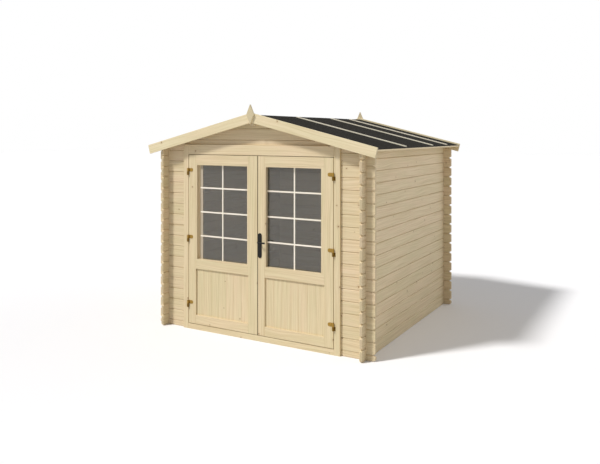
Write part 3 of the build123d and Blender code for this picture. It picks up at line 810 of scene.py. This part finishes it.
class SHED_OT_door_leaves(Operator):
    """Frame the two door leaves, board their lower panels and seal the gap between them with a dark seal that
    also paints the gap's shade
    """

    bl_idname = "shed.door_leaves"
    bl_label = "Door leaves"

    def execute(self, context):
        sizes = context.scene.shed_sizes
        draw = np.random.default_rng(37)
        fine_arris = sizes.log_arris / 2
        joint, tongue = sizes.panel_joint, sizes.panel_tongue
        leaf_edges = []
        for name in sides:
            leaf_low, leaf_high, panel_low, panel_high, glass_low, glass_high = leaf_places(sizes, name)
            leaf_edges += [leaf_low, leaf_high]
            front, back = leaf_low[1], leaf_high[1]
            parts = []
            for low_x, high_x in ((leaf_low[0], panel_low[0]), (panel_high[0], leaf_high[0])):
                low, high = (low_x, front, leaf_low[2]), (high_x, back, leaf_high[2])
                parts.append(board(low, high, 2, sizes.board_arris, draw))
            for low_z, high_z in (
                (leaf_low[2], panel_low[2]), (panel_high[2], glass_low[2]), (glass_high[2], leaf_high[2]),
            ):
                low, high = (panel_low[0], front, low_z), (panel_high[0], back, high_z)
                parts.append(board(low, high, 0, sizes.board_arris, draw, sizes.log_arris))
            nodes = (f"{name}_door_stiles", f"{name}_door_rails")
            dress_leaf(context, name, "leaf_frame", parts, "door", *nodes)
            edges = np.linspace(panel_low[0], panel_high[0], sizes.panel_board_count + 1)
            edges[[0, -1]] += (-tongue, tongue)
            foot, head = panel_low[2] - tongue, panel_high[2] + tongue
            near, far = panel_low[1] + sizes.panel_set_back, panel_high[1]
            boards = []
            for low_x, high_x in zip(edges[:-1], edges[1:]):
                outline = [
                    (low_x + joint, near), (high_x - joint, near), (high_x, near + joint),
                    (high_x, far - joint), (high_x - joint, far), (low_x + joint, far),
                    (low_x, far - joint), (low_x, near + joint),
                ]
                boards.append(beam(outline, fine_arris, foot, head, 0.0, (z_axis, x_axis, y_axis), draw))
            dress_leaf(context, name, "leaf_panel", boards, "door", f"{name}_door_panel")
        _, left_high, right_low, right_high = leaf_edges
        near = right_low[1] + sizes.seal_set_back
        low = (left_high[0], near, right_low[2])
        high = (right_low[0] - sizes.seal_play, near + sizes.seal_depth, right_high[2])
        # The dark seal stands in the gap as rubber and as painted shade.
        rubber = material_of("epdm_rubber_gap_shade", epdm_rubber_gap_shade, context.scene.shed_colours.seal)
        seal = board(low, high, 2, fine_arris, draw)
        dress("meeting_seal_gap_shade", [seal], rubber, "left_door", "handle_black")
        return {"FINISHED"}


# Beads left and right of the glass, the two strips beside the left leaf's glass, and the places of the bars
bead_widths = {"left": (0.014, 0.0125), "right": (0.012, 0.0335)}
edge_widths = {"left": (0.0205, 0.0345), "right": (0.0, 0.0)}
strip_set_back = 0.0005
bar_shifts = {"left": -0.008, "right": 0.0}
bar_place_shares = (0.245, 0.5005, 0.7575)


def flat_boards(spans, faces, arris, draw):
    """Thin boards in the plane of a leaf, for each of its faces. A span is a board's lowest x and z, its
    highest x and z, and the axis that it runs along. A face is the nearest and farthest y."""
    return [
        board((low_x, near, low_z), (high_x, far, high_z), run, arris, draw, least_radius)
        for near, far in faces
        for low_x, low_z, high_x, high_z, run in spans
    ]


class SHED_OT_glazing(Operator):
    """Fit glass, beads, edge strips and glazing bars into the door leaves"""

    bl_idname = "shed.glazing"
    bl_label = "Glazing"

    def execute(self, context):
        sizes = context.scene.shed_sizes
        draw = np.random.default_rng(41)
        half, bar_arris = sizes.bar_width / 2, sizes.bar_depth / 3
        for name in sides:
            leaf_low, leaf_high, _, _, glass_low, glass_high = leaf_places(sizes, name)
            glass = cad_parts[f"{name}_door_glass"]
            glass.data.materials.clear()
            glass.data.materials.append(
                material_of("float_glass", float_glass, context.scene.shed_colours.glass)
            )
            (left_x, near, foot), (right_x, far, top) = glass_low, glass_high
            low_x, high_x = left_x + bead_widths[name][0], right_x - bead_widths[name][1]
            low_z, high_z = foot + sizes.bead_foot, top - sizes.bead_top
            spans = (
                (left_x, foot, low_x, top, 2), (high_x, foot, right_x, top, 2),
                (low_x, foot, high_x, low_z, 0), (low_x, high_z, high_x, top, 0),
            )
            faces = ((leaf_low[1] + sizes.bead_set_back, near), (far, leaf_high[1] - sizes.bead_set_back))
            beads = flat_boards(spans, faces, sizes.log_arris / 2, draw)
            dress_leaf(context, name, "leaf_beads", beads, "door")
            faces = np.array(((near - sizes.bar_depth, near), (far, far + sizes.bar_depth)))
            strip_faces = faces + ((strip_set_back, 0.0), (0.0, -strip_set_back))
            inner_x, strip_x = low_x + np.cumsum(edge_widths[name])
            if strip_x > low_x:
                # The second strip wears the darkened strip colours, a painted shade.
                for wood, start, end in (("door", low_x, inner_x), ("strip", inner_x, strip_x)):
                    strips = flat_boards([(start, low_z, end, high_z, 2)], strip_faces, bar_arris, draw)
                    dress_leaf(context, name, f"{wood}_edge", strips, wood)
            middle_x = (low_x + high_x) / 2 + bar_shifts[name]
            spans = [(middle_x - half, low_z, middle_x + half, high_z, 2)]
            for share in bar_place_shares:
                bar_z = low_z + share * (high_z - low_z)
                for start, end in ((inner_x, middle_x - half), (middle_x + half, high_x)):
                    spans.append((start, bar_z - half, end, bar_z + half, 0))
            bars = flat_boards(spans, faces, bar_arris, draw)
            dress_leaf(context, name, "glazing_bars", bars, "bar")
        return {"FINISHED"}


# Fittings

screw_profile_shares = np.array([(1.0, 0.0), (0.75, 0.36), (0.45, 0.42), (0.35, 0.12), (0.0, 0.12)])
screw_steps = 12


def screw_head(place, axis, around, radius):
    """Low round screw head: a turned profile with a hollow in its middle, in shares of its radius."""
    return lathe(screw_profile_shares * radius, place, axis, around, screw_steps)


class SHED_OT_hinges(Operator):
    """Hang the leaves on their brass hinges"""

    bl_idname = "shed.hinges"
    bl_label = "Hinges"

    def execute(self, context):
        height_shares = (0.115, 0.503, 0.9)
        radius, knuckle, play, rim, rim_share = 0.010, 0.0365, 0.0003, 0.002, 0.3
        strap_length, strap_height, strap_thickness, strap_corner = 0.060, 0.036, 0.003, 0.014
        strap_edge, strap_edge_depth = 0.0006, 0.0008
        screw_radius = 0.0042
        screw_runs, screw_lift_shares = (0.026, 0.026, 0.046), (0.25, 0.75, 0.5)
        lug_reach = 0.018
        face = frame_front_y
        hinge_y = face - radius - play
        strap_along = (0.0, strap_thickness - strap_edge_depth, strap_thickness)
        strap_insets = (0.0, 0.0, strap_edge)
        strap_run = (strap_along, strap_insets, (0.0, face, 0.0), (-y_axis, x_axis, z_axis))
        rim_cut = rim * rim_share
        turned = [(0.0, 0.0), (radius - rim, 0.0), (radius - rim_cut, rim_cut), (radius, rim)]
        turned += [(reach, knuckle - height) for reach, height in turned[::-1]]
        for name, side in sides.items():
            leaf_low, leaf_high = corners_of(f"{name}_door_stiles")
            hinge_x = ((leaf_low if side < 0 else leaf_high)[0] + side * head_high[0]) / 2
            straps, knuckles = [], []
            for share in height_shares:
                plain = np.random.default_rng(5)
                z = leaf_low[2] + share * (leaf_high[2] - leaf_low[2])
                foot, head = z + play / 2, z - play / 2
                straps.append(lathe(turned, (hinge_x, hinge_y, foot), z_axis, x_axis))
                far, top = hinge_x - side * strap_length, foot + strap_height
                outline = [(hinge_x, foot), (hinge_x, top), (far, top), (far, foot)][::side]
                radii = [least_radius, least_radius, strap_corner, strap_corner][::side]
                straps.append(bar(outline, radii, *strap_run, plain))
                for run, lift_share in zip(screw_runs, screw_lift_shares):
                    place = (hinge_x - side * run, face - strap_thickness, foot + lift_share * strap_height)
                    straps.append(screw_head(place, -y_axis, x_axis, screw_radius))
                knuckles.append(lathe(turned, (hinge_x, hinge_y, head - knuckle), z_axis, x_axis))
                low_x, high_x = sorted((hinge_x, side * (head_high[0] + lug_reach)))
                low, high = (low_x, face - strap_thickness, head - knuckle), (high_x, face, head)
                knuckles.append(board(low, high, 2, strap_edge, plain))
            # The lower knuckles take the darkened pin brass, a painted shade.
            for place, parts, kind, body, node in (
                ("upper", straps, "brass", f"{name}_door", "straps"),
                ("lower", knuckles, "pin_brass_painted_shade", "shed", "pins"),
            ):
                dress(
                    f"{name}_hinge_{place}", parts, brass(context, kind), body, "hinge_brass",
                    f"{name}_hinge_{node}", sharp=turned_sharp,
                )
        return {"FINISHED"}


class SHED_OT_handle(Operator):
    """Fit the lever handle and its two plates to the right leaf"""

    bl_idname = "shed.handle"
    bl_label = "Handle"

    def execute(self, context):
        corner, edge, corner_steps = 0.020, 0.0025, 8
        screw_inset, screw_radius = 0.018, 0.0045
        collar = [(0.012, 0.0), (0.0115, 0.003), (0.0095, 0.004), (0.0, 0.004)]
        # Face of the lock's cylinder
        lock_drop, lock_round, lock_steps = 0.040, 0.0084, 6
        lock_half, lock_foot, lock_head = 0.0085, -0.022, 0.010
        lock_outline = rectangle(-lock_half, lock_foot, lock_half, lock_head)
        lock_along, lock_insets = (-0.001, 0.0012, 0.0018), (0.0, 0.0, 0.0006)
        coat = material_of("powder_coat", powder_coat, context.scene.shed_colours.handle)
        plate_low, plate_high = corners_of("handle_plates")
        lever_low, lever_high = corners_of("door_lever")
        leaf_low, leaf_high = corners_of("right_door_stiles")
        middle_x, _, middle_z = (plate_low + plate_high) / 2
        half_x, _, half_z = (plate_high - plate_low) / 2
        thickness = leaf_low[1] - plate_low[1]
        outline = rectangle(-half_x, -half_z, half_x, half_z)
        along = np.append(0.0, thickness - edge + edge * np.sin(quarter_turns))
        insets = np.append(0.0, edge * (1 - np.cos(quarter_turns)))
        plain = np.random.default_rng(7)
        lever_z = (lever_low[2] + lever_high[2]) / 2
        plates, levers, screws = [], [], []
        for face_y, outward in ((leaf_low[1], -1), (leaf_high[1], 1)):
            out_axis = outward * y_axis
            axes = (out_axis, -outward * x_axis, z_axis)
            proud = face_y + outward * thickness
            origin = (middle_x, face_y, middle_z)
            plates.append(bar(outline, corner, along, insets, origin, axes, plain, arc_steps=corner_steps))
            for lift in (-half_z + screw_inset, half_z - screw_inset):
                screws.append(screw_head((middle_x, proud, middle_z + lift), out_axis, x_axis, screw_radius))
            plates.append(lathe(collar, (middle_x, proud, lever_z), out_axis, x_axis))
            levers.append(self.lever((middle_x, proud, lever_z), out_axis, lever_high[0] - middle_x))
            origin = (middle_x, proud, middle_z - lock_drop)
            lock = (lock_outline, lock_round, lock_along, lock_insets)
            screws.append(bar(*lock, origin, axes, plain, arc_steps=lock_steps))
        for name, parts, body, nodes in (
            ("handle_plate_pair", plates, "right_door", ["handle_plates"]),
            ("lever_pair", levers, "door_handle", ["door_lever"]),
            ("handle_screws", screws, "right_door", []),
        ):
            dress(name, parts, coat, body, "handle_black", *nodes, sharp=turned_sharp)
        return {"FINISHED"}

    def lever(self, foot, out_axis, reach):
        """Lever: an oval carried straight out of the plate, round a bend and along to the tip.

        The path is a line, a quarter circle and a line. The oval goes from a circle in the neck to a flat
        oval in the grip by a smooth step, and at the tip it shrinks as the square root of one less the square
        of the last stretch."""
        stand_off, bend, neck_radius = 0.045, 0.016, 0.0078
        grip_up, grip_out, tip, tip_share = 0.0088, 0.0054, 0.012, 0.98
        flattening, bend_share = 0.03, 0.3
        neck_steps, bend_steps, arm_steps, oval_steps = 4, 9, 22, 20
        turns = np.linspace(0, pi / 2, bend_steps)
        neck = np.linspace(0, stand_off - bend, neck_steps)[:-1]
        arm = np.linspace(bend, reach, arm_steps)[1:]
        still = np.zeros(len(neck))
        out = np.concatenate((neck, stand_off - bend + bend * np.sin(turns), np.full(len(arm), stand_off)))
        along = np.concatenate((still, bend * (1 - np.cos(turns)), arm))
        heading = np.concatenate((still, turns, np.full(len(arm), pi / 2)))[:, None]
        share = np.clip((along - bend * bend_share) / flattening, 0, 1)
        share = share * share * (3 - 2 * share)
        taper = np.sqrt(1 - np.clip((along - reach + tip) / tip, 0, tip_share) ** 2)
        half_up, half_out = (
            ((neck_radius + share * (grip - neck_radius)) * taper)[:, None] for grip in (grip_up, grip_out)
        )
        angle = np.linspace(0, 2 * pi, oval_steps, endpoint=False)
        tangent = np.sin(heading) * x_axis + np.cos(heading) * out_axis
        normal = np.cross(tangent, z_axis)
        path = foot + along[:, None] * x_axis + out[:, None] * out_axis
        rise, depth = (half_up * np.cos(angle))[..., None], (half_out * np.sin(angle))[..., None]
        return skin(path[:, None] + rise * z_axis + depth * normal[:, None])


# Roof

batten_place_shares = (0.317, 0.641, 0.844)


def slope_axes(sizes, side):
    """Down the slope, square to it, and the level axis that makes them right-handed."""
    angle = sizes.roof_angle
    down = np.array((side * cos(angle), 0.0, -sin(angle)))
    lift = np.array((side * sin(angle), 0.0, cos(angle)))
    return down, lift, np.cross(lift, down)


def eave_run(sizes):
    """Length of the underside of a slope, from the ridge to the eave."""
    return (deck_high[0] - sizes.deck_thickness * sin(sizes.roof_angle)) / cos(sizes.roof_angle)


def slope_bar(sizes, side, start, end, centre_y, width, low, high, draw, skew=0.0):
    """Board that runs down a slope, between two heights above the roof's underside."""
    down, lift, level = slope_axes(sizes, side)
    outline = rectangle(-width / 2, low, width / 2, high)
    arris, origin = sizes.log_arris, (0.0, centre_y, apex_z)
    return beam(outline, arris, start, end, arris, (down, level, lift), draw, origin, skew)


class SHED_OT_roof_boards(Operator):
    """Lay the purlin and the roof boards"""

    bl_idname = "shed.roof_boards"
    bl_label = "Roof boards"

    def execute(self, context):
        sizes = context.scene.shed_sizes
        wood = timber(context, "trim")
        draw = np.random.default_rng(53)
        slope = tan(sizes.roof_angle)
        thickness, joint, arris = sizes.deck_thickness, sizes.board_joint, sizes.log_arris
        edges = np.linspace(0, eave_run(sizes), sizes.roof_board_count + 1)
        for name, side in sides.items():
            down, lift, level = slope_axes(sizes, side)
            axes, origin = (-level, down, lift), (0.0, 0.0, apex_z)
            boards = []
            for near, far in zip(edges[:-1], edges[1:]):
                outline = [
                    (near + joint, 0.0), (far - joint, 0.0), (far, joint),
                    (far, thickness), (near, thickness), (near, joint),
                ]
                if near == 0:
                    outline[0] = (0.0, 0.0)
                    outline[4:] = [(-thickness * slope, thickness)]
                boards.append(beam(outline, arris / 2, deck_low[1], deck_high[1], arris, axes, draw, origin))
            dress(f"{name}_roof_boards", boards, wood, "shed", "roof_timber", f"{name}_roof_deck")
        half, foot = purlin_half, purlin_low[2]
        top = apex_z - half * slope
        outline = [(foot, -half), (top, -half), (apex_z, 0.0), (top, half), (foot, half)]
        axes = (y_axis, z_axis, x_axis)
        purlin = beam(outline, arris, purlin_low[1], purlin_high[1], sizes.board_arris, axes, draw)
        dress("ridge_beam", [purlin], wood, "shed", "roof_timber", "ridge_purlin")
        return {"FINISHED"}


class SHED_OT_roof_felt(Operator):
    """Cover the roof with strips of felt that meet under the battens"""

    bl_idname = "shed.roof_felt"
    bl_label = "Roofing felt"

    def execute(self, context):
        sizes = context.scene.shed_sizes
        colours = context.scene.shed_colours
        felt = material_of("grit_felt", grit_felt, colours.felt, colours.felt_grit)
        seams = felt_low[1] + np.array((0.0, *batten_place_shares, 1.0)) * (felt_high[1] - felt_low[1])
        strips = [self.strip(sizes, near, far) for near, far in zip(seams[:-1], seams[1:])]
        dress("roof_felt_strips", strips, felt, "shed", "roof_felt", "roof_felt", sharp=turned_sharp)
        return {"FINISHED"}

    def strip(self, sizes, near, far):
        """Felt strip: a thin section carried from eave to eave over a softened ridge.

        The ridge is softened by the root of x squared plus the bend squared. The height over the boards is
        a mean of three sines of both directions, under a millimetre, which fades towards the strip's edges
        and the eaves, less a share of the mean's size."""
        gap, bend, bend_share, ripple, sink_share = 0.001, 0.006, 0.5, 0.0009, 0.2
        slope_steps, strip_steps, end_fade = 81, 25, 8
        ripples = ((9, 5, 0), (23, -11, 2), (31, 4, 0))
        thickness = sizes.felt_thickness
        slope, lean = tan(sizes.roof_angle), sin(sizes.roof_angle)
        eave_x = felt_high[0] - (sizes.deck_thickness + thickness) * lean
        ridge_z = apex_z + sizes.deck_thickness / cos(sizes.roof_angle)
        reach = np.linspace(-1, 1, slope_steps)
        x = reach * (eave_x + sizes.deck_thickness * lean)
        soft = np.sqrt(x * x + bend * bend)
        z = ridge_z - slope * (soft - bend * bend_share)
        nil = np.zeros(len(x))
        tangent = np.stack((np.ones(len(x)), nil, -slope * x / soft), axis=1)
        tangent /= np.linalg.norm(tangent, axis=1)[:, None]
        lift = np.cross(tangent, y_axis)
        across = np.linspace(near + gap, far - gap, strip_steps)
        edge = np.sin(pi * np.linspace(0, 1, strip_steps))
        ends = np.clip((1 - np.abs(reach)) * end_fade, 0, 1)[:, None]
        wave = sum(np.sin(down * x[:, None] + level * across + shift) for down, level, shift in ripples)
        wave /= len(ripples)
        top = thickness + ripple * (wave * ends * edge - np.abs(wave) * sink_share)
        level = np.broadcast_to(across, top.shape)
        level = np.append(level, level[:, ::-1], axis=1)[..., None]
        height = np.append(np.zeros(top.shape), top[:, ::-1], axis=1)[..., None]
        path = np.stack((x, nil, z), axis=1)[:, None]
        return skin(path + level * y_axis + height * lift[:, None])


class SHED_OT_roof_trim(Operator):
    """Nail on the battens, the barge boards and the finials"""

    bl_idname = "shed.roof_trim"
    bl_label = "Roof trim"

    def execute(self, context):
        sizes = context.scene.shed_sizes
        wood = timber(context, "trim")
        draw = np.random.default_rng(67)
        nail_radius, nail_inset, nail_count = 0.0042, 0.05, 5
        cosine = cos(sizes.roof_angle)
        felt_top = sizes.deck_thickness + sizes.felt_thickness
        batten_top = felt_top + sizes.batten_thickness
        start = sizes.batten_from_ridge / cosine
        end = eave_run(sizes) - sizes.batten_from_eave / cosine
        section = (sizes.batten_width, felt_top, batten_top)
        battens, nails = [], []
        for side in sides.values():
            down, lift, level = slope_axes(sizes, side)
            for share in batten_place_shares:
                centre_y = deck_low[1] + share * (deck_high[1] - deck_low[1])
                battens.append(slope_bar(sizes, side, start, end, centre_y, *section, draw))
                for run in np.linspace(start + nail_inset, end - nail_inset, nail_count):
                    place = (0.0, centre_y, apex_z) + run * down + batten_top * lift
                    nails.append(screw_head(place, lift, level, nail_radius))
        dress("batten_strips", battens, timber(context, "batten"), "shed", "roof_timber", "roof_battens")
        dress("batten_nails", nails, brass(context, "brass"), "shed", "hinge_brass", sharp=turned_sharp)
        thickness = deck_low[1] - barge_low[1]
        barge_y = deck_high[1] + thickness / 2
        top = felt_top + sizes.barge_above_felt
        foot = top - sizes.barge_width
        run = eave_run(sizes) + sizes.barge_past_eave / cosine
        upright_cut = -tan(sizes.roof_angle)
        for name, side in sides.items():
            boards = [
                slope_bar(sizes, side, 0.0, run, centre_y, thickness, foot, top, draw, upright_cut)
                for centre_y in (-barge_y, barge_y)
            ]
            dress(f"{name}_barge_pair", boards, wood, "shed", "roof_timber", f"{name}_barge_boards")
        half_z, half_x = (finial_high[2] - finial_low[2]) / 2, finial_high[0]
        outline = [(half_z, 0.0), (0.0, half_x), (-half_z, 0.0), (0.0, -half_x)]
        origin = (0.0, 0.0, (finial_low[2] + finial_high[2]) / 2)
        axes, end_round = (y_axis, z_axis, x_axis), sizes.log_arris / 2
        diamonds = [
            beam(outline, least_radius, near, far, end_round, axes, draw, origin)
            for near, far in ((finial_low[1], barge_low[1]), (barge_high[1], finial_high[1]))
        ]
        dress("finial_pair", diamonds, wood, "shed", "roof_timber", "finials")
        return {"FINISHED"}


# Floor and stage


class SHED_OT_floor(Operator):
    """Board the floor on its joists"""

    bl_idname = "shed.floor"
    bl_label = "Floor"

    def execute(self, context):
        sizes = context.scene.shed_sizes
        wood = timber(context, "floor")
        draw = np.random.default_rng(71)
        edges = np.linspace(floor_low[0], floor_high[0], sizes.floor_board_count + 1)
        boards = []
        for low_x, high_x in zip(edges[:-1], edges[1:]):
            beside = low_x >= jamb_high[0] or high_x <= -jamb_high[0]
            front = floor_low[1] if beside else joist_low[1]
            low, high = (low_x, front, floor_low[2]), (high_x, floor_high[1], floor_high[2])
            boards.append(board(low, high, 1, sizes.board_joint / 2, draw))
        dress("floor_planks", boards, wood, "shed", "floor_timber", "floor_boards")
        joists = []
        for near in np.linspace(joist_low[1], joist_high[1] - sizes.joist_width, sizes.joist_count):
            low = (joist_low[0], near, joist_low[2])
            high = (joist_high[0], near + sizes.joist_width, joist_high[2])
            joists.append(board(low, high, 0, sizes.log_arris, draw))
        dress("joists", joists, wood, "shed", "floor_timber", "floor_joists")
        return {"FINISHED"}


floor_reach = 60.0
sky_strength = 0.37
# Each far lamp's direction of travel, strength, the angle that it fills, and tint
lamps = {
    "sun": ((0.405, 0.5255, -0.755), 2.67, radians(8), (1.0, 0.99, 0.97)),
    "fill": ((-0.73, -0.66, -0.06), 0.95, radians(70), (1.0, 0.985, 0.94)),
}
camera_place, camera_heading = (3.610, -6.6114, 2.0587), radians(29.807)
sensor_width, focal_length, lens_shift = 36.0, 39.29, -0.1639


class SHED_OT_stage(Operator):
    """Set the pale floor, the light and the camera"""

    bl_idname = "shed.stage"
    bl_label = "Stage"

    def execute(self, context):
        scene = context.scene
        colours = scene.shed_colours
        scene.view_settings.view_transform = "Standard"
        mesh = bpy.data.meshes.new("stage_floor")
        corners = rectangle(-floor_reach, -floor_reach, floor_reach, floor_reach)
        mesh.from_pydata([(*corner, 0.0) for corner in corners], [], [(0, 1, 2, 3)])
        mesh.materials.append(
            material_of("pale_floor", pale_floor, colours.floor_bounce, colours.floor, shader="BsdfDiffuse")
        )
        ground = bpy.data.objects.new("stage_floor", mesh)
        scene.collection.objects.link(ground)

        world = bpy.data.worlds.new("soft_sky")
        scene.world = world
        world.use_nodes = True
        world.node_tree.nodes.clear()
        node = partial(add_node, world.node_tree)
        strength = node("MapRange", {"Value": seen_directly(node), "To Min": sky_strength, "To Max": 1.0})
        sky = node("Background", {"Color": (1.0, 1.0, 1.0, 1.0), "Strength": strength})
        node("OutputWorld", {"Surface": sky})
        for name, (travel, energy, angle, tint) in lamps.items():
            lamp = bpy.data.lights.new(name, "SUN")
            lamp.energy, lamp.angle, lamp.color = energy, angle, tint
            holder = bpy.data.objects.new(name, lamp)
            # A lamp shines along its own -Z
            x, y, z = np.array(travel) / np.linalg.norm(travel)
            holder.rotation_euler = (np.arccos(-z), 0.0, np.arctan2(-x, y))
            scene.collection.objects.link(holder)

        lens = bpy.data.cameras.new("camera")
        lens.sensor_width, lens.lens, lens.shift_y = sensor_width, focal_length, lens_shift
        camera = bpy.data.objects.new("camera", lens)
        camera.location = camera_place
        camera.rotation_euler = (pi / 2, 0.0, camera_heading)
        scene.collection.objects.link(camera)
        scene.camera = camera
        return {"FINISHED"}


class SHED_PT_panel(Panel):
    """Lists the steps that dress the shed"""

    bl_idname = "SHED_PT_panel"
    bl_label = "Garden shed"
    bl_space_type = "VIEW_3D"
    bl_region_type = "UI"
    bl_category = "Shed"

    def draw(self, context):
        for step in steps:
            self.layout.operator(step.bl_idname)
        for group in (context.scene.shed_sizes, context.scene.shed_colours):
            for name in group.__annotations__:
                self.layout.prop(group, name)


steps = (
    SHED_OT_walls, SHED_OT_door_frame, SHED_OT_door_leaves, SHED_OT_glazing, SHED_OT_hinges, SHED_OT_handle,
    SHED_OT_roof_boards, SHED_OT_roof_felt, SHED_OT_roof_trim, SHED_OT_floor, SHED_OT_stage,
)
classes = (ShedSizes, ShedColours, *steps, SHED_PT_panel)


def register():
    for cls in classes:
        bpy.utils.register_class(cls)
    bpy.types.Scene.shed_sizes = PointerProperty(type=ShedSizes)
    bpy.types.Scene.shed_colours = PointerProperty(type=ShedColours)


def unregister():
    del bpy.types.Scene.shed_colours
    del bpy.types.Scene.shed_sizes
    for cls in reversed(classes):
        bpy.utils.unregister_class(cls)


def main():
    register()
    bpy.ops.shed.walls()
    bpy.ops.shed.door_frame()
    bpy.ops.shed.door_leaves()
    bpy.ops.shed.glazing()
    bpy.ops.shed.hinges()
    bpy.ops.shed.handle()
    bpy.ops.shed.roof_boards()
    bpy.ops.shed.roof_felt()
    bpy.ops.shed.roof_trim()
    bpy.ops.shed.floor()
    bpy.ops.shed.stage()


if __name__ == "__main__":
    main()
